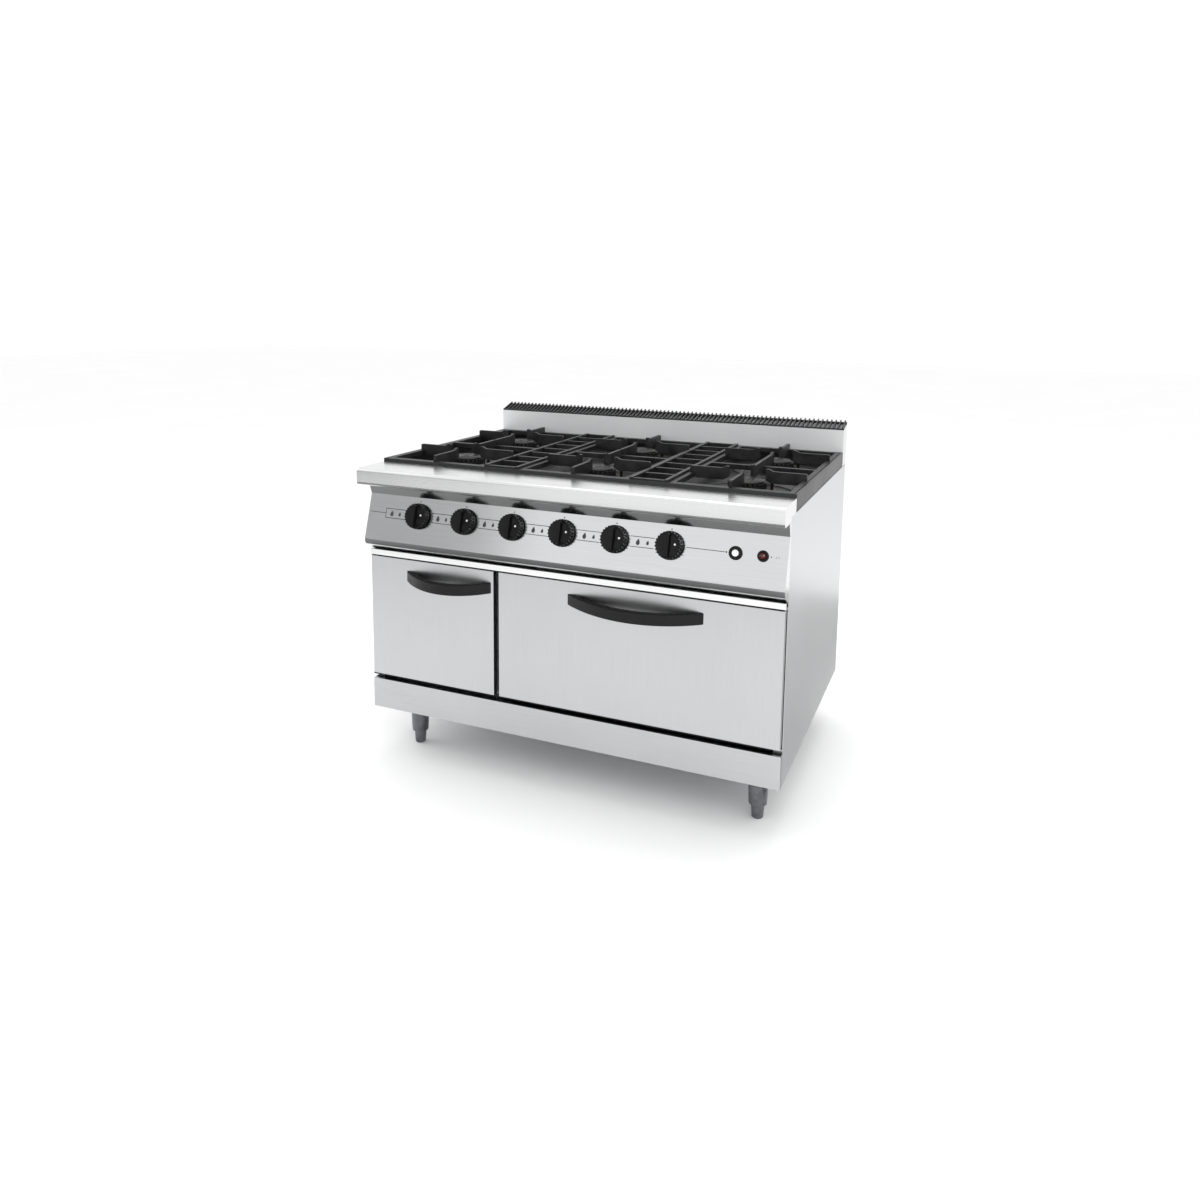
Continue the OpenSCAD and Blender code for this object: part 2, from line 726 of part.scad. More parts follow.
// Knob with a thin skirt, a ribbed drum and a grip ridge; its socket has the spindle's flat
module knob(i) {
    r = knob_d / 2;
    ribs = 24;
    rim_z = knob_gap + 3;
    top_z = knob_gap + 18;
    socket_top = knob_gap + 24;
    color("#121314") from_doors() on_panel(knob_x(i)) difference() {
        union() {
            drum(r, knob_gap, rim_z);
            translate([0, 0, rim_z]) linear_extrude(height = top_z - rim_z) polygon(ribbed(r - 3.5, r - 1, ribs));
            block([-6, 5 - r, top_z], [6, r - 5, knob_h]);
        }
        difference() {
            drum(stem_r + 0.3, knob_gap - 1, socket_top);
            block([stem_r - 0.7, -stem_r - 1, knob_gap - 2], [stem_r + 2, stem_r + 1, socket_top + 1]);
        }
    }
}

module knob_1() knob(1);

module knob_2() knob(2);

module knob_3() knob(3);

module knob_4() knob(4);

module knob_5() knob(5);

module knob_6() knob(6);

// Finger of a grate: an upright plate from its outer end to a raised tip near the burner
module finger(length) {
    w = 9;
    tip = 50;
    low = grate_z;
    top = tray_top + 18;
    translate([0, w / 2, 0]) rotate([90, 0, 0]) linear_extrude(height = w)
        polygon([[length, tray_top - 6], [length, top - 2], [length - 3, top], [tip + 20, top],
                 [tip + 7, tray_top + finger_rise], [tip, tray_top + finger_rise - 1], [tip, low + 8],
                 [tip + 16, low], [length - 16, low]]);
}

module grate(x) {
    bar = 14;
    low = grate_z;
    outset = 3;
    color("#1b1b1c") from_doors() translate([x, 0, 0]) {
        difference() {
            block([-grate_w / 2, grate_y0, low], [grate_w / 2, grate_y1, tray_top]);
            for (y = burner_y)
                block([bar - grate_w / 2, max(y - grate_d / 4 + bar / 2, grate_y0 + bar), low - 1],
                      [grate_w / 2 - bar, min(y + grate_d / 4 - bar / 2, grate_y1 - bar), tray_top + 1]);
        }
        for (y = burner_y) translate([0, y, 0]) {
            for (a = [0, 180]) rotate(a) finger(grate_w / 2 - outset);
            for (a = [90, 270]) rotate(a) finger(grate_d / 4 - outset);
        }
        for (sx = [-1, 1]) for (y = [grate_y0 + 7, (grate_y0 + grate_y1) / 2, grate_y1 - 7])
            translate([sx * (grate_w / 2 - 7), y, 0]) drum(6, tray_z + 0.3, low + 1);
    }
}

module grate_left() grate(-column_x);

module grate_middle() grate(0);

module grate_right() grate(column_x);

module infill_strip(side) {
    bar = 10;
    strip_rise = 6;
    low = grate_z + 2;
    pitch = (grate_d - bar) / (slats - 1);
    color("#222324") from_doors() translate([side * column_x / 2, 0, 0]) {
        for (s = [-1, 1]) translate([s * (strip_w - bar) / 2, 0, 0])
            block([-bar / 2, grate_y0, low], [bar / 2, grate_y1, tray_top + strip_rise]);
        for (i = [0:slats - 1]) translate([0, grate_y0 + i * pitch, 0])
            block([-strip_w / 2 + 1, 0, low + 2], [strip_w / 2 - 1, bar, tray_top + strip_rise - 2]);
        for (sx = [-1, 1]) for (y = [grate_y0 + 5, grate_y1 - 5])
            translate([sx * (strip_w - bar) / 2, y, 0]) drum(4.5, tray_z + 0.3, low + 1);
    }
}

module infill_strip_left() infill_strip(-1);

module infill_strip_right() infill_strip(1);

side_panel_left();
side_panel_right();
rear_panel();
base_frame();
kick_panel();
partition_wall();
front_frame();
control_panel();
trim_strip();
front_ledge();
hob_tray();
flue_riser();
flue_grille();
burner_bodies();
burner_caps();
pilot_burners();
gas_pipework();
gas_valves();
oven_liner();
oven_floor();
rack_runners();
oven_burner();
oven_insulation();
leg_sockets();
indicator_lamp();
igniter_body();
hinge_brackets();
fasteners();
cabinet_door_skin();
cabinet_door_liner();
cabinet_door_handle();
oven_door_skin();
oven_door_liner();
oven_door_insulation();
oven_door_seal();
oven_door_handle();
oven_rack();
ignition_button();
oven_control_knob();
valve_stem_1();
valve_stem_2();
valve_stem_3();
valve_stem_4();
valve_stem_5();
valve_stem_6();
knob_1();
knob_2();
knob_3();
knob_4();
knob_5();
knob_6();
grate_left();
grate_middle();
grate_right();
infill_strip_left();
infill_strip_right();
foot_front_left();
foot_front_right();
foot_rear_left();
foot_rear_right();
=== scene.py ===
"""Studio model of a free-standing six-burner gas range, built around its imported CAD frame."""
import json
import logging
import math
from collections.abc import Callable, Iterator
from contextlib import contextmanager
from dataclasses import dataclass
from enum import Enum

import bmesh
import bpy
from mathutils import Matrix, Vector

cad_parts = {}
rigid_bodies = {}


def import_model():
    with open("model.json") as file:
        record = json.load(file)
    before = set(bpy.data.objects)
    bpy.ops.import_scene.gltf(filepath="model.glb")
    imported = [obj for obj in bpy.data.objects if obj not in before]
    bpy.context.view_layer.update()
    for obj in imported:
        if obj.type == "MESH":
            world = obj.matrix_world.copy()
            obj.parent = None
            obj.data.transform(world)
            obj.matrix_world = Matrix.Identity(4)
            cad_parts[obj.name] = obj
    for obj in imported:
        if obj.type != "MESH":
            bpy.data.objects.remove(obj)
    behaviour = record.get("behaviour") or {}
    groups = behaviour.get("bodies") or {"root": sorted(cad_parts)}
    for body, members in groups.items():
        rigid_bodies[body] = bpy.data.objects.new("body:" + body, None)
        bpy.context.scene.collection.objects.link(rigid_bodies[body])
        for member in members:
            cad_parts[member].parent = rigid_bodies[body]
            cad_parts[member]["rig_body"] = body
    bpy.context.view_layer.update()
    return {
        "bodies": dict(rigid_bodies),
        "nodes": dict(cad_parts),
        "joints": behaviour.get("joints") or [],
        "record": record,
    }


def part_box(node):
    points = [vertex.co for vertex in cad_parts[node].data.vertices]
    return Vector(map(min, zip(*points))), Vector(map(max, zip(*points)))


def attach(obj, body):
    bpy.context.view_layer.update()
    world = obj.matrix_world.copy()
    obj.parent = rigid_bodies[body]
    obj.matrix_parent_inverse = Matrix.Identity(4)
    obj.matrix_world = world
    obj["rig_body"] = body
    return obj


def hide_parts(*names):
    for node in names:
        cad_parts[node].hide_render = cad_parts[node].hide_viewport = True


LOG = logging.getLogger("range")
MM = 0.001
EX, EZ = Vector((1, 0, 0)), Vector((0, 0, 1))
# A CAD node's doubled points lie closer than this, and its flat faces turn by less than this.
CAD_MERGE_M = 2e-5
CAD_FLAT_DEGREES = 0.8


# ---------------------------------------------------------------- materials

def linear(colour: str) -> tuple[float, float, float, float]:
    """Turns an sRGB hex colour into linear light.

    Args:
        colour: The colour, such as "#c8cacc".

    Returns:
        Red, green, blue and an alpha of 1.
    """
    parts = [int(colour[i:i + 2], 16) / 255 for i in (1, 3, 5)]
    light = [p / 12.92 if p <= 0.04045 else ((p + 0.055) / 1.055) ** 2.4 for p in parts]
    return light[0], light[1], light[2], 1.0


def per_metre(size_mm: float) -> float:
    """Turns the size of a pattern's features, in millimetres, into a texture scale per metre."""
    return 1 / (size_mm * MM)


def add_node(tree: bpy.types.NodeTree, kind: str, settings: dict | None = None,
             values: dict | None = None, links: dict | None = None) -> bpy.types.Node:
    """Adds a node with its settings, its socket values and its incoming links.

    Args:
        tree: The material's or the world's node tree.
        kind: The node's type, without "ShaderNode" in front.
        settings: Attributes of the node itself.
        values: Default values by socket name or number.
        links: Output sockets by the input's name or number.

    Returns:
        The new node.
    """
    node = tree.nodes.new("ShaderNode" + kind)
    for key, value in (settings or {}).items():
        setattr(node, key, value)
    for key, value in (values or {}).items():
        node.inputs[key].default_value = value
    for key, socket in (links or {}).items():
        tree.links.new(socket, node.inputs[key])
    return node


class Grain(Enum):
    """Which way a brushed or drawn surface was worked: stretch of the pattern along X, Y and Z."""

    ALONG_X = (1.0, 90.0, 90.0)
    ALONG_Z = (90.0, 90.0, 1.0)
    ROUND = (40.0, 40.0, 40.0)


@dataclass(frozen=True)
class Finish:
    """A surface finish: its colours, its gloss and the two patterns that break it up.

    Attributes:
        name: The material's name.
        dark: Colour in the pattern's low places.
        light: Colour in the pattern's high places.
        metallic: 1 for bare metal and 0 for anything else.
        rough: Roughness in the smoothest places.
        rougher: Roughness in the roughest places.
        grit_mm: Size of the fine pattern.
        cloud_mm: Size of the slow change over the whole piece.
        grain: Which way the fine pattern runs.
        relief: Strength of the bump that the fine pattern gives.
        relief_mm: Height of that bump.
        coat: Weight of a clear or glassy coat.
        sheen: Level of the mirror-like part of the light; metals keep 0.5.
    """

    name: str
    dark: str
    light: str
    metallic: float
    rough: float
    rougher: float
    grit_mm: float
    cloud_mm: float
    grain: Grain = Grain.ROUND
    relief: float = 0.1
    relief_mm: float = 0.1
    coat: float = 0.0
    sheen: float = 0.5

    def material(self) -> bpy.types.Material:
        """Builds the material, or returns it if it is there already."""
        found = bpy.data.materials.get(self.name)
        if found:
            return found
        made = bpy.data.materials.new(self.name)
        made.use_nodes = True
        tree = made.node_tree
        shader = tree.nodes["Principled BSDF"]
        place = add_node(tree, "TexCoord").outputs["Object"]
        stretch = [s / max(self.grain.value) * per_metre(self.grit_mm) for s in self.grain.value]
        spread = add_node(tree, "Mapping", values={"Scale": stretch}, links={"Vector": place})
        fine = add_node(tree, "TexNoise", values={"Scale": 1.0, "Detail": 4.0, "Roughness": 0.6},
                        links={"Vector": spread.outputs[0]})
        slow = add_node(tree, "TexNoise", values={"Scale": per_metre(self.cloud_mm), "Detail": 3.0},
                        links={"Vector": place})
        blend = add_node(tree, "Mix", {"data_type": "FLOAT"}, {0: 0.45},
                         {2: fine.outputs["Fac"], 3: slow.outputs["Fac"]})
        level = add_node(tree, "MapRange", values={1: 0.34, 2: 0.66}, links={0: blend.outputs[0]})
        tint = add_node(tree, "ValToRGB", links={0: level.outputs[0]})
        tint.color_ramp.elements[0].color = linear(self.dark)
        tint.color_ramp.elements[1].color = linear(self.light)
        gloss = add_node(tree, "MapRange", values={3: self.rough, 4: self.rougher},
                         links={0: level.outputs[0]})
        bump = add_node(tree, "Bump", values={"Strength": self.relief, "Distance": self.relief_mm * MM},
                        links={"Height": fine.outputs["Fac"]})
        tree.links.new(tint.outputs[0], shader.inputs["Base Color"])
        tree.links.new(gloss.outputs[0], shader.inputs["Roughness"])
        tree.links.new(bump.outputs[0], shader.inputs["Normal"])
        shader.inputs["Metallic"].default_value = self.metallic
        shader.inputs["Specular IOR Level"].default_value = self.sheen
        shader.inputs["Coat Weight"].default_value = self.coat
        shader.inputs["Coat Roughness"].default_value = 0.06
        return made


# Austenitic stainless sheet, No. 4 brushed with a belt: soft streaks along the belt's way. The real
# grain is under 0.1 mm wide, so it is drawn about ten times as coarse to show at all.
PANEL_STEEL = Finish("Brushed stainless, grain across", "#d2d3d4", "#dddedf", 1.0, 0.13, 0.19, 1.6, 420,
                     Grain.ALONG_X, 0.02, 0.04)
DOOR_STEEL = Finish("Brushed stainless, grain upright", "#b9babb", "#c2c3c4", 1.0, 0.30, 0.36, 1.8, 380,
                    Grain.ALONG_Z, 0.02, 0.04)
# Side sheets, with the same upright grain but a paler face.
SIDE_STEEL = Finish("Brushed stainless side sheet", "#cfd0d1", "#d8d9da", 1.0, 0.30, 0.36, 1.8, 380,
                    Grain.ALONG_Z, 0.02, 0.04)
# The kick panel, low under the doors, is coloured a little darker than the doors: painted shade.
KICK_STEEL = Finish("Brushed stainless, painted shade near the floor", "#b4b5b6", "#bfc0c1", 1.0, 0.26, 0.34, 1.6, 420,
                    Grain.ALONG_X, 0.03, 0.04)
# The same sheet behind the hob, dulled by heat and scouring. Its pale colour, brighter than the other
# sheets, is painted light.
RISER_STEEL = Finish("Scoured stainless, painted light", "#e2e3e4", "#ebecec", 1.0, 0.60, 0.70, 1.6, 300,
                     Grain.ALONG_X, 0.04, 0.04)
# The ledge and the trim are smoother than the other sheets, and their paler colour is a painted highlight.
LEDGE_STEEL = Finish("Polished stainless edge, painted highlight", "#dcdddd", "#ebebeb", 1.0, 0.22, 0.30, 1.5, 300,
                     Grain.ALONG_X, 0.02, 0.04)
# Hot-dip galvanised sheet behind and under the range: dull, with clouded crystals.
GALVANISED = Finish("Galvanised sheet", "#84888b", "#a5a9ab", 0.85, 0.45, 0.60, 14, 60, relief=0.05)
# Stove paint on the folded frame behind the doors.
FRAME_PAINT = Finish("Stove-black paint", "#1b1c1e", "#26272a", 0.0, 0.55, 0.70, 1.2, 90, relief=0.12)
# The same stove paint on the flue's fins, glossier for being thicker.
STOVE_BLACK = Finish("Glossy stove paint", "#121314", "#1f2022", 0.0, 0.35, 0.5, 1.5, 80, relief=0.15)
# Vitreous enamel fired on pressed steel: black glass with a faint orange-peel.
ENAMEL = Finish("Black vitreous enamel", "#08090a", "#131416", 0.0, 0.34, 0.48, 6, 160, relief=0.06,
                relief_mm=0.25, coat=0.08)
# Grey oven enamel, speckled when it is fired.
OVEN_ENAMEL = Finish("Speckled oven enamel", "#1d1f23", "#3a3d43", 0.0, 0.25, 0.40, 1.6, 120, relief=0.06,
                     coat=0.3)
# Sand-cast grey iron, burnt black: grains of sand left in the skin.
CAST_IRON = Finish("Blackened cast iron", "#151516", "#3a3a3b", 0.6, 0.34, 0.56, 1.5, 45, relief=0.35,
                   relief_mm=0.3)
# Bare cast iron of the burners, greyer where it was fettled.
BURNER_IRON = Finish("Grey cast iron", "#191919", "#2d2c2b", 0.6, 0.45, 0.65, 1.3, 30, relief=0.4,
                     relief_mm=0.3)
# Turned cap, heated until it went brown-black.
CAP_IRON = Finish("Heat-darkened cap", "#101010", "#222120", 0.6, 0.34, 0.5, 1.0, 22, relief=0.15)
# Free-cutting brass of valves and pilots.
BRASS = Finish("Turned brass", "#94703a", "#c49a56", 1.0, 0.25, 0.4, 1.0, 25, relief=0.1)
# The same brass beside a flame, tarnished brown-black.
BURNT_BRASS = Finish("Tarnished brass", "#2b241b", "#54452f", 1.0, 0.4, 0.6, 1.0, 12, relief=0.15)
# Electro-galvanised pipe.
PIPE = Finish("Zinc-plated pipe", "#85888b", "#a6a9ac", 1.0, 0.35, 0.5, 1.5, 50, relief=0.08)
# Phenolic moulding of knobs and handles: satin black with a fine spark-eroded texture.
PHENOLIC = Finish("Black phenolic moulding", "#050506", "#0b0c0d", 0.0, 0.26, 0.36, 0.7, 35, relief=0.08,
                  relief_mm=0.06, sheen=0.25)
# Chrome-plated wire of the rack and the spindles.
CHROME = Finish("Chrome-plated wire", "#c6c8ca", "#dedfe0", 1.0, 0.10, 0.2, 2.0, 60, relief=0.02)
# Legs turned from stainless tube, ground round. Their dark colour is painted shade under the range's body.
LEG_STEEL = Finish("Turned stainless leg, painted shade", "#505255", "#85878a", 1.0, 0.14, 0.24, 0.9, 40, Grain.ALONG_X,
                   0.06, 0.06)
# Mineral wool: yellow-grey fibres, no shine.
WOOL = Finish("Mineral wool", "#a69c72", "#d9cf9f", 0.0, 0.9, 1.0, 3, 30, relief=0.9, relief_mm=1.5)
# Braided glass-fibre rope of the oven seal.
BRAID = Finish("Glass-fibre braid", "#35332f", "#67635b", 0.0, 0.8, 0.95, 1.6, 20, relief=0.8,
               relief_mm=0.5)
# Silk-screened graphics, fired grey ink.
INK = Finish("Grey panel ink", "#2e3032", "#434547", 0.0, 0.5, 0.6, 1.0, 30, relief=0.02)
# White ink of the knobs' dots: printed marks that are painted highlights too.
WHITE_INK_AND_HIGHLIGHT = Finish("White pad-printed ink and painted highlight", "#dcdcda", "#f0f0ee", 0.0, 0.4, 0.5, 1.0, 30, relief=0.02)
# Pale moulded nylon of the ignition button.
BUTTON_NYLON = Finish("Pale nylon button", "#d5d6d5", "#efefee", 0.0, 0.3, 0.4, 1.0, 30, relief=0.05)
# Acrylic jewel of the lamp, dark red while it is off.
JEWEL = Finish("Dark red acrylic jewel", "#2e0705", "#5d1510", 0.0, 0.08, 0.15, 4, 12, relief=0.04,
               coat=0.8)
# Painted studio floor, matt and nearly white.
FLOOR = Finish("Matt studio floor", "#f6f6f6", "#f9f9f9", 0.0, 0.8, 0.9, 4, 900, relief=0.02)
# Matt painted card of the studio's flags.
GREY_CARD = Finish("Grey studio card", "#7c7c7c", "#848484", 0.0, 0.9, 1.0, 2, 200, relief=0.1,
                  sheen=0.1)
PALE_CARD = Finish("Pale grey studio card", "#acacac", "#b2b2b2", 0.0, 0.9, 1.0, 2, 200, relief=0.1,
                  sheen=0.1)
# Zinc-plated pan-head screws.
SCREW = Finish("Zinc-plated screw", "#8f9193", "#b2b4b6", 1.0, 0.3, 0.42, 0.8, 12, relief=0.08)


# ---------------------------------------------------------------- hand work

def deselect() -> None:
    """Leaves edit mode and selects nothing."""
    if bpy.context.mode != "OBJECT":
        bpy.ops.object.mode_set(mode="OBJECT")
    bpy.ops.object.select_all(action="DESELECT")


def take(obj: bpy.types.Object) -> None:
    """Selects one object alone and makes it the active one."""
    deselect()
    obj.select_set(True)
    bpy.context.view_layer.objects.active = obj


@contextmanager
def editing(obj: bpy.types.Object, mode: str = "EDGE") -> Iterator[bmesh.types.BMesh]:
    """Opens an object in edit mode with nothing selected, and closes it again.

    Args:
        obj: The object to work on.
        mode: What to select: VERT, EDGE or FACE.

    Yields:
        The mesh, in which to select by place.
    """
    take(obj)
    bpy.ops.object.mode_set(mode="EDIT")
    bpy.ops.mesh.select_mode(type=mode)
    bpy.ops.mesh.select_all(action="DESELECT")
    yield bmesh.from_edit_mesh(obj.data)
    bpy.ops.object.mode_set(mode="OBJECT")


def choose(obj: bpy.types.Object, mesh: bmesh.types.BMesh, parts: bmesh.types.BMVertSeq,
           test: Callable[[object], bool]) -> None:
    """Selects the parts of a mesh that pass a test, and shows the operators the selection."""
    for part in parts:
        part.select_set(bool(test(part)))
    mesh.select_flush_mode()
    bmesh.update_edit_mesh(obj.data)


def settle(obj: bpy.types.Object) -> bpy.types.Object:
    """Moves an object's place, turn and scale into its mesh."""
    take(obj)
    bpy.ops.object.transform_apply(location=True, rotation=True, scale=True)
    return obj


def mend(obj: bpy.types.Object, distance: float = 1e-5) -> None:
    """Merges doubled points and turns all faces outwards."""
    with editing(obj, "VERT"):
        bpy.ops.mesh.select_all(action="SELECT")
        bpy.ops.mesh.remove_doubles(threshold=distance)
        bpy.ops.mesh.normals_make_consistent(inside=False)


def smooth(obj: bpy.types.Object, degrees: float = 35) -> bpy.types.Object:
    """Shades faces that meet at less than an angle as one surface."""
    take(obj)
    bpy.ops.object.shade_smooth_by_angle(angle=math.radians(degrees))
    return obj


def ease(obj: bpy.types.Object, width_mm: float, segments: int = 2,
         degrees: float = 35) -> bpy.types.Object:
    """Rounds every edge sharper than an angle, as a file or a press would.

    Args:
        obj: The object whose edges are rounded.
        width_mm: Width of the rounding.
        segments: Steps in the rounding.
        degrees: The least angle that counts as an edge.

    Returns:
        The same object.
    """
    take(obj)
    rounding = obj.modifiers.new("Eased edges", "BEVEL")
    rounding.width = width_mm * MM
    rounding.segments = segments
    rounding.limit_method = "ANGLE"
    rounding.angle_limit = math.radians(degrees)
    bpy.ops.object.modifier_apply(modifier=rounding.name)
    smooth(obj)
    shading = obj.modifiers.new("Flat faces stay flat", "WEIGHTED_NORMAL")
    shading.keep_sharp = True
    bpy.ops.object.modifier_apply(modifier=shading.name)
    return obj


def block(name: str, low: Vector, high: Vector) -> bpy.types.Object:
    """Adds a box between two corners, to be shaped further."""
    deselect()
    bpy.ops.mesh.primitive_cube_add(size=1, location=(Vector(low) + Vector(high)) / 2)
    made = bpy.context.object
    made.name = name
    made.scale = Vector(high) - Vector(low)
    return settle(made)


def prism(name: str, outline: list[Vector], along: Vector) -> bpy.types.Object:
    """Makes a bar whose section is an outline of points in space, drawn out along a vector."""
    deselect()
    bpy.ops.mesh.primitive_circle_add(vertices=len(outline), radius=1, fill_type="NGON")
    made = bpy.context.object
    made.name = name
    for vertex, point in zip(made.data.vertices, outline):
        vertex.co = point
    with editing(made, "FACE"):
        bpy.ops.mesh.select_all(action="SELECT")
        bpy.ops.mesh.extrude_region_move(TRANSFORM_OT_translate={"value": along})
    mend(made)
    return made


def lathe(name: str, profile: list[tuple[float, float]], steps: int = 64) -> bpy.types.Object:
    """Turns a profile round the Z axis.

    Args:
        name: The piece's name.
        profile: Radius and height of each point in millimetres, starting and ending on the axis.
        steps: Faces round the piece.

    Returns:
        The turned piece, at the origin.
    """
    deselect()
    bpy.ops.mesh.primitive_circle_add(vertices=len(profile), radius=1, fill_type="NOTHING")
    made = bpy.context.object
    made.name = name
    for vertex, (radius, height) in zip(made.data.vertices, profile):
        vertex.co = Vector((radius, 0, height)) * MM
    with editing(made, "EDGE") as mesh:
        choose(made, mesh, mesh.edges, lambda e: all(abs(v.co.x) < 1e-9 for v in e.verts))
        bpy.ops.mesh.delete(type="EDGE")
        bpy.ops.mesh.select_all(action="SELECT")
        bpy.ops.mesh.spin(steps=steps, angle=2 * math.pi, center=(0, 0, 0), axis=(0, 0, 1))
    mend(made)
    return made


def copy_of(obj: bpy.types.Object, name: str, matrix: Matrix = Matrix.Identity(4)) -> bpy.types.Object:
    """Makes a new object from a copy of another one's mesh, moved by a matrix."""
    twin = bpy.data.objects.new(name, obj.data.copy())
    bpy.context.scene.collection.objects.link(twin)
    twin.data.transform(matrix)
    return twin


def joined(name: str, parts: list[bpy.types.Object]) -> bpy.types.Object:
    """Joins objects into one."""
    deselect()
    for part in parts:
        part.select_set(True)
    bpy.context.view_layer.objects.active = parts[0]
    bpy.ops.object.join()
    parts[0].name = name
    return parts[0]


def combine(obj: bpy.types.Object, tool: bpy.types.Object, how: str) -> bpy.types.Object:
    """Joins a tool's shape to an object or cuts it away, and throws the tool away.

    Args:
        obj: The object that stays.
        tool: The object whose shape is used up.
        how: UNION or DIFFERENCE.

    Returns:
        The same object.
    """
    take(obj)
    change = obj.modifiers.new("Combine", "BOOLEAN")
    change.object = tool
    change.operation = how
    change.solver = "EXACT"
    bpy.ops.object.modifier_apply(modifier=change.name)
    bpy.data.objects.remove(tool)
    return obj


def dress(obj: bpy.types.Object, finish: Finish) -> bpy.types.Object:
    """Gives an object one finish all over."""
    obj.data.materials.clear()
    obj.data.materials.append(finish.material())
    return obj


def fit(obj: bpy.types.Object, finish: Finish, body: str, slot: str, *nodes: str) -> bpy.types.Object:
    """Dresses a finished piece and hangs it on its body.

    Args:
        obj: The piece, in place.
        finish: Its finish.
        body: The CAD body that it moves with.
        slot: The record's material slot; not used.
        nodes: CAD nodes that it stands for.

    Returns:
        The same piece.
    """
    dress(obj, finish)
    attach(obj, body)
    if nodes:
        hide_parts(*nodes)
    LOG.info("%s rides on %s", obj.name, body)
    return obj


def worked(frame: dict, node: str, finish: Finish, edge_mm: float, segments: int = 2) -> bpy.types.Object:
    """Copies a CAD node, rounds its edges as its press, mould or file would, and stands it in for the node.

    Args:
        frame: The loaded frame.
        node: The CAD node's name.
        finish: The finish of the piece.
        edge_mm: Width of the rounding on its edges.
        segments: Steps in that rounding.

    Returns:
        The new piece, riding on the node's body.
    """
    source = frame["nodes"][node]
    made = copy_of(source, node + "_part")
    take(made)
    bpy.ops.mesh.customdata_custom_splitnormals_clear()
    with editing(made, "VERT"):
        bpy.ops.mesh.select_all(action="SELECT")
        bpy.ops.mesh.remove_doubles(threshold=CAD_MERGE_M)
        bpy.ops.mesh.dissolve_limited(angle_limit=math.radians(CAD_FLAT_DEGREES))
    ease(made, edge_mm, segments)
    return fit(made, finish, source["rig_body"], slot_of(frame, node), node)


def slot_of(frame: dict, node: str) -> str:
    """Gives the record's material slot of a CAD node."""
    return frame["nodes"][node].data.materials[0].name.split(".")[0]


def coat(frame: dict, finish: Finish, *nodes: str) -> None:
    """Gives CAD nodes that stay as they are a finish."""
    for node in nodes:
        frame["nodes"][node].data.materials[0] = finish.material()
        LOG.info("%s keeps its CAD shape", node)


def joint_of(frame: dict, name: str) -> dict:
    """Finds a joint's row by name."""
    return next(joint for joint in frame["joints"] if joint["name"] == name)


def on_panel(frame: dict, x: float) -> Matrix:
    """Gives the place on the control panel's face at the knobs' height: +Z out of it, +X across the range.

    Args:
        frame: The loaded frame.
        x: How far across the range, in metres.

    Returns:
        The matrix from the piece's own axes to the frame's.
    """
    turn = joint_of(frame, "knob_1_turn")
    out = Vector(turn["axis"]).normalized()
    matrix = Matrix((EX, out.cross(EX).normalized(), out)).transposed().to_4x4()
    matrix.translation = Vector((x, *turn["pos_m"][1:]))
    return matrix


def middle_x(node: str) -> float:
    """Gives the middle of a CAD node across the range, in metres."""
    low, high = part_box(node)
    return (low.x + high.x) / 2


# ---------------------------------------------------------------- sub-assemblies

ROOT = "range_body"


@dataclass
class Casework:
    """Pressed and folded sheet metal of the body.

    Attributes:
        frame: The loaded frame.
        fold_mm: Rounding of a folded 1.5 mm sheet.
        frame_mm: Rounding of the painted frame behind the doors.
    """

    frame: dict
    fold_mm: float = 0.6
    frame_mm: float = 0.4

    def build(self) -> None:
        """Makes the panels that show and finishes those that hardly do."""
        for node, finish in (
            ("side_panel_left", SIDE_STEEL), ("side_panel_right", SIDE_STEEL), ("kick_panel", KICK_STEEL),
            ("control_panel", PANEL_STEEL), ("trim_strip", LEDGE_STEEL), ("front_ledge", LEDGE_STEEL),
            ("flue_riser", RISER_STEEL),
        ):
            worked(self.frame, node, finish, self.fold_mm)
        worked(self.frame, "front_frame", FRAME_PAINT, self.frame_mm)
        worked(self.frame, "flue_grille", STOVE_BLACK, self.frame_mm)
        coat(self.frame, GALVANISED, "rear_panel", "base_frame", "partition_wall")
        coat(self.frame, FRAME_PAINT, "hinge_brackets")
        coat(self.frame, SCREW, "fasteners")


@dataclass
class Legs:
    """Turned stainless legs with feet that screw in for levelling."""

    frame: dict
    edge_mm: float = 0.8

    def build(self) -> None:
        """Makes the four legs and their feet."""
        worked(self.frame, "leg_sockets", LEG_STEEL, self.edge_mm)
        for place in ("front_left", "front_right", "rear_left", "rear_right"):
            worked(self.frame, "foot_" + place, LEG_STEEL, self.edge_mm)


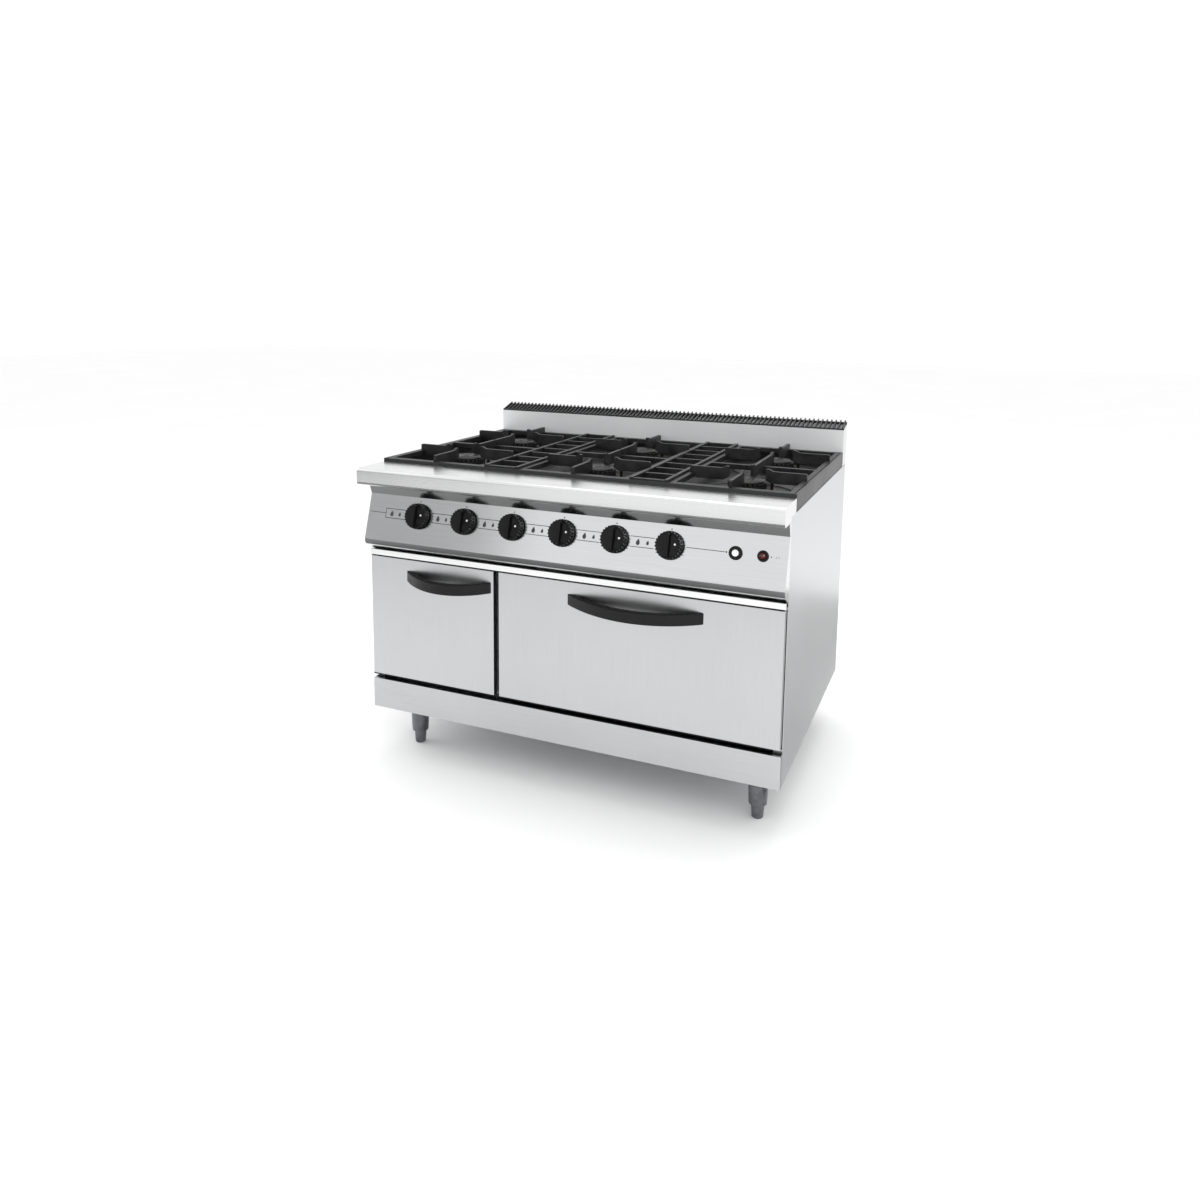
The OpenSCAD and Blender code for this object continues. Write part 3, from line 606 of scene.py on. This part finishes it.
@dataclass
class Hob:
    """Enamelled tray with burners, cast grates and slatted strips."""

    frame: dict
    cast_mm: float = 1.6
    press_mm: float = 1.2
    cap_mm: float = 46.0
    cap_h_mm: float = 9.0

    def build(self) -> None:
        """Makes everything above the body."""
        worked(self.frame, "hob_tray", ENAMEL, self.press_mm)
        for side in ("left", "middle", "right"):
            worked(self.frame, "grate_" + side, CAST_IRON, self.cast_mm)
        for side in ("left", "right"):
            worked(self.frame, "infill_strip_" + side, CAST_IRON, self.cast_mm * 0.6)
        self.caps()
        coat(self.frame, BURNER_IRON, "burner_bodies")
        coat(self.frame, BURNT_BRASS, "pilot_burners")

    def caps(self) -> None:
        """Turns one burner cap with two raised rings and sets a copy on every burner."""
        low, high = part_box("burner_caps")
        r, h = self.cap_mm, self.cap_h_mm
        cap = lathe("burner_cap", [
            (0, 0), (r - 3, 0), (r, 0.8), (r, 3), (r - 1.5, 4.6), (r - 7, h - 2.2), (r - 9, h - 1.4),
            (r - 12, h - 1.8), (r - 14, h - 2.4), (r - 22, h - 2.2), (r - 24, h - 0.8), (r - 27, h - 0.8),
            (r - 29, h - 2.0), (10, h - 1.6), (8, h - 0.2), (0, h)], 72)
        smooth(cap)
        seat = high.z - h * MM
        margin = r * MM
        copies = [
            copy_of(cap, "cap", Matrix.Translation((x, y, seat)))
            for x in (low.x + margin, (low.x + high.x) / 2, high.x - margin)
            for y in (low.y + margin, high.y - margin)
        ]
        bpy.data.objects.remove(cap)
        fit(smooth(joined("burner_caps_part", copies)), CAP_IRON, ROOT, "cap_iron", "burner_caps")


@dataclass
class Knob:
    """Moulded control knob: a thin skirt, a fluted drum nearly as wide, and a ridge across it.

    Attributes:
        frame: The loaded frame.
        skirt_mm: Radius of the skirt.
        grip_mm: Radius of the grip over its ribs.
        flutes: Number of flutes round the grip.
        flute_share: Share of its radius that a flute's floor keeps.
        ridge_mm: Half the ridge's width at its foot.
        dot_mm: Place of the white dot on the grip's face, a printed mark and a painted highlight in one.
        dot_r_mm: Radius of the white dot.
        gap_mm: Height of the skirt's underside over the panel.
        skirt_top_mm: Height of the skirt's top.
        grip_top_mm: Height of the grip's top.
        top_mm: Height of the ridge.
    """

    frame: dict
    skirt_mm: float = 36.0
    grip_mm: float = 35.0
    flutes: int = 24
    flute_share: float = 0.93
    ridge_mm: float = 7.5
    dot_mm: tuple[float, float] = (18.5, 3.0)
    dot_r_mm: float = 2.6
    gap_mm: float = 5.0
    skirt_top_mm: float = 8.0
    grip_top_mm: float = 23.0
    top_mm: float = 32.0

    def shell(self) -> bpy.types.Object:
        """Turns the skirt and the grip, and presses the flutes into the grip."""
        s, g, top = self.skirt_mm, self.grip_mm, self.grip_top_mm
        made = lathe("knob_shell", [
            (0, self.gap_mm), (s - 1.2, self.gap_mm), (s, self.gap_mm + 0.8), (s, self.skirt_top_mm - 0.8),
            (s - 0.6, self.skirt_top_mm - 0.1), (g, self.skirt_top_mm + 0.4),
            (g - 0.1, self.skirt_top_mm + 1.2),
            (g - 0.5, top - 3), (g - 1.3, top - 1), (g - 3.0, top), (g - 6.0, top - 0.3),
            (g - 8.0, top - 1.4),
            (0, top - 1.4)], self.flutes * 4)
        step = math.tau / (self.flutes * 4)
        with editing(made, "VERT") as mesh:
            choose(made, mesh, mesh.verts, lambda v: (
                (g - 3.4) * MM < math.hypot(v.co.x, v.co.y) < (g + 0.2) * MM
                and v.co.z > (self.skirt_top_mm + 0.2) * MM
                and round(math.atan2(v.co.y, v.co.x) / step) % 4 in (0, 1)))
            bpy.ops.transform.resize(value=(self.flute_share, self.flute_share, 1),
                                     center_override=(0, 0, 0))
        return made

    def ridge(self) -> bpy.types.Object:
        """Shapes the ridge that fingers turn: narrow at the top, with round ends."""
        half, reach = self.ridge_mm * MM, (self.grip_mm - 4.5) * MM
        made = block("knob_ridge", (-half, -reach, (self.grip_top_mm - 4) * MM),
                     (half, reach, self.top_mm * MM))
        with editing(made, "FACE") as mesh:
            choose(made, mesh, mesh.faces, lambda f: f.normal.z > 0.9)
            bpy.ops.transform.resize(value=(0.66, 0.95, 1), center_override=(0, 0, self.top_mm * MM))
        with editing(made, "EDGE") as mesh:
            choose(made, mesh, mesh.edges,
                   lambda e: abs((e.verts[0].co - e.verts[1].co).normalized().z) > 0.5)
            bpy.ops.mesh.bevel(offset=5.0 * MM, segments=5)
        return ease(made, 1.2, 3, 50)

    def build(self) -> None:
        """Makes one knob and its white dot, a printed mark and a painted highlight in one, and puts a copy
        on every spindle.
        """
        shell = combine(smooth(self.shell()), self.ridge(), "UNION")
        ease(shell, 0.25, 1, 40)
        # The white dot stands for a printed mark and also paints the white highlight right of the ridge.
        r = self.dot_r_mm
        white = lathe("knob_white", [(0, 0), (r, 0), (r, 0.5), (r - 0.6, 0.9), (0, 0.9)], 24)
        white.data.transform(Matrix.Translation(Vector((*self.dot_mm, self.grip_top_mm - 1.5)) * MM))
        for number in range(1, 7):
            place = on_panel(self.frame, middle_x(f"knob_{number}"))
            node, body = f"knob_{number}", f"burner_knob_{number}"
            fit(smooth(copy_of(shell, node + "_part", place)), PHENOLIC, body, "black_plastic", node)
            fit(smooth(copy_of(white, node + "_mark", place)), WHITE_INK_AND_HIGHLIGHT, body, "button_white")
            coat(self.frame, CHROME, f"valve_stem_{number}")
        for used in (shell, white):
            bpy.data.objects.remove(used)


@dataclass
class PanelGraphics:
    """Thin printed lines that join the controls, with a small flame by each knob.

    Attributes:
        frame: The loaded frame.
        line_mm: Width of a line.
        ink_mm: Thickness of the ink.
        spread_mm: Distance of each of the two lines from the controls' middle line.
        clear_mm: Distance from a knob's middle to the end of a line.
        stub_mm: Length of the box that holds the first pair of flames.
        flames_mm: Heights of a tall and a short flame.
    """

    frame: dict
    line_mm: float = 1.7
    ink_mm: float = 0.15
    spread_mm: float = 13.0
    clear_mm: float = 42.0
    stub_mm: float = 68.0
    flames_mm: tuple[float, float] = (17.0, 12.0)

    def stroke(self, start: tuple[float, float], end: tuple[float, float]) -> bpy.types.Object:
        """Draws a straight line between two points of the panel, in millimetres."""
        a, b = Vector((*start, 0)) * MM, Vector((*end, 0)) * MM
        side = (b - a).normalized().cross(EZ) * self.line_mm / 2 * MM
        return prism("stroke", [a - side, b - side, b + side, a + side], EZ * self.ink_mm * MM)

    def flame(self, x: float, size: float) -> bpy.types.Object:
        """Draws a flame of a given height: a drop with its tip leaning over."""
        outline = []
        for k in range(24):
            turn = math.tau * k / 24
            lift = (1 + math.sin(turn)) / 2
            outline.append(Vector((
                x + size * (0.36 * math.cos(turn) * (1 - lift ** 2 * 0.92) + 0.12 * lift ** 3),
                size * (lift - 0.5), 0)) * MM)
        return prism("flame", outline, EZ * self.ink_mm * MM)

    def dot(self, x: float, y: float, radius: float) -> bpy.types.Object:
        """Draws a round dot."""
        outline = [Vector((x + radius * math.cos(t), y + radius * math.sin(t), 0)) * MM
                   for t in (math.tau * k / 20 for k in range(20))]
        return prism("dot", outline, EZ * self.ink_mm * MM)

    def build(self) -> None:
        """Draws everything flat, lays it on the panel's face and joins it into one piece."""
        knobs = [middle_x(f"knob_{number}") / MM for number in range(1, 7)]
        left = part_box("control_panel")[0].x / MM
        button, lamp = middle_x("ignition_button") / MM, middle_x("indicator_lamp") / MM
        s, c = self.spread_mm, self.clear_mm
        tall, short = self.flames_mm
        split = knobs[0] - c - self.stub_mm
        parts = [self.stroke((left + 6, 0), (split, 0)), self.stroke((split, -s), (split, s)),
                 self.stroke((split, s), (knobs[0] - c, s)), self.stroke((split, -s), (knobs[0] - c, -s)),
                 self.flame(split + 20, tall), self.flame(split + 46, short),
                 self.stroke((knobs[-1] + c, 0), (button - 26, 0)), self.dot(button - 23, 0, 2.2),
                 self.dot(lamp + 20, 0, 1.6), self.dot(lamp + 32, 0, 1.2), self.dot(lamp + 38, 0, 1.2)]
        for a, b in zip(knobs, knobs[1:]):
            middle = (a + b) / 2
            for level in (s, -s):
                parts.append(self.stroke((a + c, level), (b - c, level)))
            parts += [self.flame(middle - 12, tall), self.flame(middle + 14, short)]
        for x in knobs:
            parts.append(self.dot(x, self.clear_mm - 1.5, 1.8))
            for degrees in (-30, 210):
                turn = math.radians(degrees)
                parts.append(self.dot(x + (c - 1) * math.cos(turn), (c - 1) * math.sin(turn), 1.1))
        ink = joined("panel_graphics", parts)
        ink.data.transform(on_panel(self.frame, 0) @ Matrix.Translation((0, 0, 0.02 * MM)))
        fit(ink, INK, ROOT, "dark_frame")


@dataclass
class PilotControls:
    """Ignition button in its black ring, and the red lamp beside it.

    Attributes:
        frame: The loaded frame.
        ring_mm: Radius of the ring round the button.
        cap_mm: Radius of the button.
        bezel_mm: Radius of the lamp's bezel.
        jewel_mm: Radius of the lamp's jewel.
    """

    frame: dict
    ring_mm: float = 17.0
    cap_mm: float = 8.4
    bezel_mm: float = 14.0
    jewel_mm: float = 8.4

    def button(self) -> None:
        """Makes the ring and the button."""
        place = on_panel(self.frame, middle_x("ignition_button"))
        r = self.ring_mm
        ring = smooth(lathe("igniter_ring", [
            (r - 8, 0.1), (r - 0.6, 0.1), (r, 0.8), (r, 2.6), (r - 1.4, 4.6), (r - 4, 5.0),
            (r - 6.8, 4.4), (r - 8, 3.0)], 64))
        ring.data.transform(place)
        fit(ring, PHENOLIC, ROOT, "black_plastic")
        coat(self.frame, PHENOLIC, "igniter_body")
        r = self.cap_mm
        cap = smooth(lathe("ignition_button_part", [
            (0, -24), (r - 0.2, -24), (r, -23.5), (r, 6.4), (r - 0.5, 7.8), (r - 1.6, 8.6),
            (r - 3.2, 8.7), (r - 4.4, 8.2), (0, 7.7)], 64))
        cap.data.transform(place)
        fit(cap, BUTTON_NYLON, "button", "button_white", "ignition_button")

    def lamp(self) -> None:
        """Makes the lamp's bezel and its jewel."""
        place = on_panel(self.frame, middle_x("indicator_lamp"))
        r = self.bezel_mm
        bezel = smooth(lathe("lamp_bezel", [
            (r - 5.8, 0.1), (r - 0.6, 0.1), (r, 0.8), (r, 2.6), (r - 1.4, 4.8), (r - 3.4, 5.2),
            (r - 5.2, 4.6), (r - 5.8, 3.0)], 64))
        bezel.data.transform(place)
        fit(bezel, PHENOLIC, ROOT, "black_plastic", "indicator_lamp")
        r = self.jewel_mm
        jewel = smooth(lathe("lamp_jewel", [
            (0, -22), (r - 0.8, -22), (r, -21), (r, 4), (r - 0.2, 5.6), (r - 1.2, 8.0),
            (r - 3.2, 10.2), (r - 5.8, 11.5), (0, 11.9)], 24), 12)
        jewel.data.transform(place)
        fit(jewel, JEWEL, ROOT, "lamp_red")

    def build(self) -> None:
        """Makes the button and the lamp."""
        self.button()
        self.lamp()


@dataclass
class Doors:
    """Cabinet door and drop-down oven door, with their bow handles.

    Attributes:
        frame: The loaded frame.
        fold_mm: Rounding of the doors' folded edges.
        grip_mm: Rounding of the moulded handles.
        field_inset_mm: Distance from the seal to the pressed field inside the oven door.
        field_proud_mm: How far that field stands out.
        field_corner_mm: Rounding of its corners.
    """

    frame: dict
    fold_mm: float = 1.3
    grip_mm: float = 7.5
    field_inset_mm: float = 42.0
    field_proud_mm: float = 1.6
    field_corner_mm: float = 22.0

    def build(self) -> None:
        """Makes both doors."""
        for door in ("cabinet_door", "oven_door"):
            worked(self.frame, door + "_skin", DOOR_STEEL, self.fold_mm, 3)
            worked(self.frame, door + "_handle", PHENOLIC, self.grip_mm, 6)
        worked(self.frame, "cabinet_door_liner", GALVANISED, 0.4)
        worked(self.frame, "oven_door_liner", OVEN_ENAMEL, 0.4)
        worked(self.frame, "oven_door_seal", BRAID, 0.8, 3)
        coat(self.frame, WOOL, "oven_door_insulation")
        self.inner_press()

    def inner_press(self) -> None:
        """Presses a raised field into the inside of the oven door."""
        low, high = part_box("oven_door_seal")
        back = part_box("oven_door_liner")[1].y
        inset, proud = self.field_inset_mm * MM, self.field_proud_mm * MM
        field = block("oven_door_press", (low.x + inset, back - 0.4 * MM, low.z + inset),
                      (high.x - inset, back + proud, high.z - inset))
        with editing(field, "EDGE") as mesh:
            choose(field, mesh, mesh.edges,
                   lambda e: abs((e.verts[0].co - e.verts[1].co).normalized().y) > 0.9)
            bpy.ops.mesh.bevel(offset=self.field_corner_mm * MM, segments=6)
        with editing(field, "FACE") as mesh:
            choose(field, mesh, mesh.faces, lambda f: f.normal.y > 0.9)
            bpy.ops.mesh.inset(thickness=14 * MM, depth=0)
            bpy.ops.mesh.inset(thickness=3 * MM, depth=-0.9 * MM)
        ease(field, 0.5, 2, 20)
        fit(field, OVEN_ENAMEL, "oven_door", "oven_enamel")


@dataclass
class Oven:
    """Enamelled oven with its floor, runners, rack and burner."""

    frame: dict
    press_mm: float = 0.5

    def build(self) -> None:
        """Makes what shows when the oven door is down."""
        worked(self.frame, "oven_liner", OVEN_ENAMEL, self.press_mm)
        worked(self.frame, "oven_floor", OVEN_ENAMEL, self.press_mm)
        coat(self.frame, CHROME, "oven_rack")
        coat(self.frame, GALVANISED, "rack_runners")
        coat(self.frame, PIPE, "oven_burner")
        coat(self.frame, WOOL, "oven_insulation")
        coat(self.frame, PHENOLIC, "oven_control_knob")


@dataclass
class GasTrain:
    """Manifold, feed pipes and valves behind the control panel."""

    frame: dict

    def build(self) -> None:
        """Finishes the pipes and the valves."""
        coat(self.frame, PIPE, "gas_pipework")
        coat(self.frame, BRASS, "gas_valves")


# ---------------------------------------------------------------- studio

@dataclass
class Studio:
    """Pale floor, soft light and the camera.

    Attributes:
        eye: Place of the camera in metres.
        yaw: How far it looks to the left of straight ahead, in degrees.
        pitch: How far it looks up, in degrees.
        roll: How far it is turned, in degrees.
        lens: Focal length in millimetres on a 36 mm sensor.
        shift: Upward shift of the view as a share of its width.
    """

    eye: tuple[float, float, float] = (1.0254, -2.5438, 1.3254)
    yaw: float = 23.01
    pitch: float = -7.95
    roll: float = 0.59
    lens: float = 28.01
    shift: float = -0.138

    def camera(self) -> None:
        """Sets up the camera."""
        deselect()
        bpy.ops.object.camera_add(location=self.eye)
        made = bpy.context.object
        yaw, pitch, roll = (math.radians(a) for a in (self.yaw, self.pitch, self.roll))
        ahead = Vector((-math.sin(yaw) * math.cos(pitch), math.cos(yaw) * math.cos(pitch), math.sin(pitch)))
        across = Vector((math.cos(yaw), math.sin(yaw), 0))
        above = across.cross(ahead)
        right = across * math.cos(roll) + above * math.sin(roll)
        top = above * math.cos(roll) - across * math.sin(roll)
        made.matrix_world = Matrix.Translation(self.eye) @ Matrix((right, top, -ahead)).transposed().to_4x4()
        made.data.lens = self.lens
        made.data.sensor_width = 36
        made.data.shift_y = self.shift
        made.data.clip_end = 60
        bpy.context.scene.camera = made

    def floor(self) -> None:
        """Lays a large pale floor."""
        deselect()
        bpy.ops.mesh.primitive_plane_add(size=40, location=(0, 0, 0))
        made = bpy.context.object
        made.name = "studio_floor"
        dress(made, FLOOR)

    def lamp(self, name: str, place: tuple[float, float, float], size: tuple[float, float], power: float,
             aim: tuple[float, float, float] = (0, 0, 0.5)) -> None:
        """Hangs a large soft lamp that looks at a point of the range."""
        deselect()
        bpy.ops.object.light_add(type="AREA", location=place)
        made = bpy.context.object
        made.name = name
        made.rotation_euler = (Vector(aim) - Vector(place)).to_track_quat("-Z", "Y").to_euler()
        made.data.shape = "RECTANGLE"
        made.data.size, made.data.size_y = size
        made.data.energy = power

    def flag(self, name: str, start: tuple[float, float, float], across: tuple[float, float, float],
             up: tuple[float, float, float], finish: Finish) -> None:
        """Sets out a card that is seen in reflections only, for bright steel to have something to show.

        Args:
            name: The card's name.
            start: Its first corner.
            across: From that corner to the next one.
            up: From the first corner to the one on its other side.
            finish: The card's finish.
        """
        deselect()
        bpy.ops.mesh.primitive_plane_add(size=1, location=(0, 0, 0))
        made = bpy.context.object
        made.name = name
        for vertex in made.data.vertices:
            right, top = vertex.co.x + 0.5, vertex.co.y + 0.5
            vertex.co = Vector(start) + Vector(across) * right + Vector(up) * top
        dress(made, finish)
        made.visible_camera = made.visible_diffuse = made.visible_shadow = False

    def surroundings(self) -> None:
        """Gives the room an even white light."""
        world = bpy.data.worlds.new("Studio")
        bpy.context.scene.world = world
        world.use_nodes = True
        tree = world.node_tree
        tree.nodes.clear()
        lit = add_node(tree, "Background", values={"Color": linear("#ffffff"), "Strength": 1.05})
        add_node(tree, "OutputWorld", links={"Surface": lit.outputs[0]})

    def build(self) -> None:
        """Sets up the whole studio."""
        self.floor()
        self.surroundings()
        self.lamp("key_light", (2.4, -3.4, 3.2), (2.6, 2.2), 60)
        self.lamp("fill_light", (-3.6, -0.6, 2.4), (2.2, 2.4), 30)
        self.lamp("top_light", (0.2, 0.4, 3.6), (3.0, 2.4), 40)
        self.flag("front_flag", (-2.2, -1.0, 0.627), (3.8, 0, 0), (0, 0.588, 0), GREY_CARD)
        self.flag("side_flag", (0.66, -0.4, 0.004), (1.0, 0, 0), (0, 2.1, 0), PALE_CARD)
        self.flag("left_flag", (-4.6, -1.6, 0.0), (2.0, -3.2, 0), (0, 0, 2.6), PALE_CARD)
        self.camera()
        bpy.context.scene.view_settings.view_transform = "Standard"


def main() -> None:
    """Builds the range round its frame, part by part."""
    logging.basicConfig(level=logging.INFO, format="%(name)s: %(message)s")
    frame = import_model()
    Studio().build()
    for part in (Casework, Legs, Hob, Knob, PanelGraphics, PilotControls, Doors, Oven, GasTrain):
        LOG.info("building %s", part.__name__)
        part(frame).build()


if __name__ == "__main__":
    main()
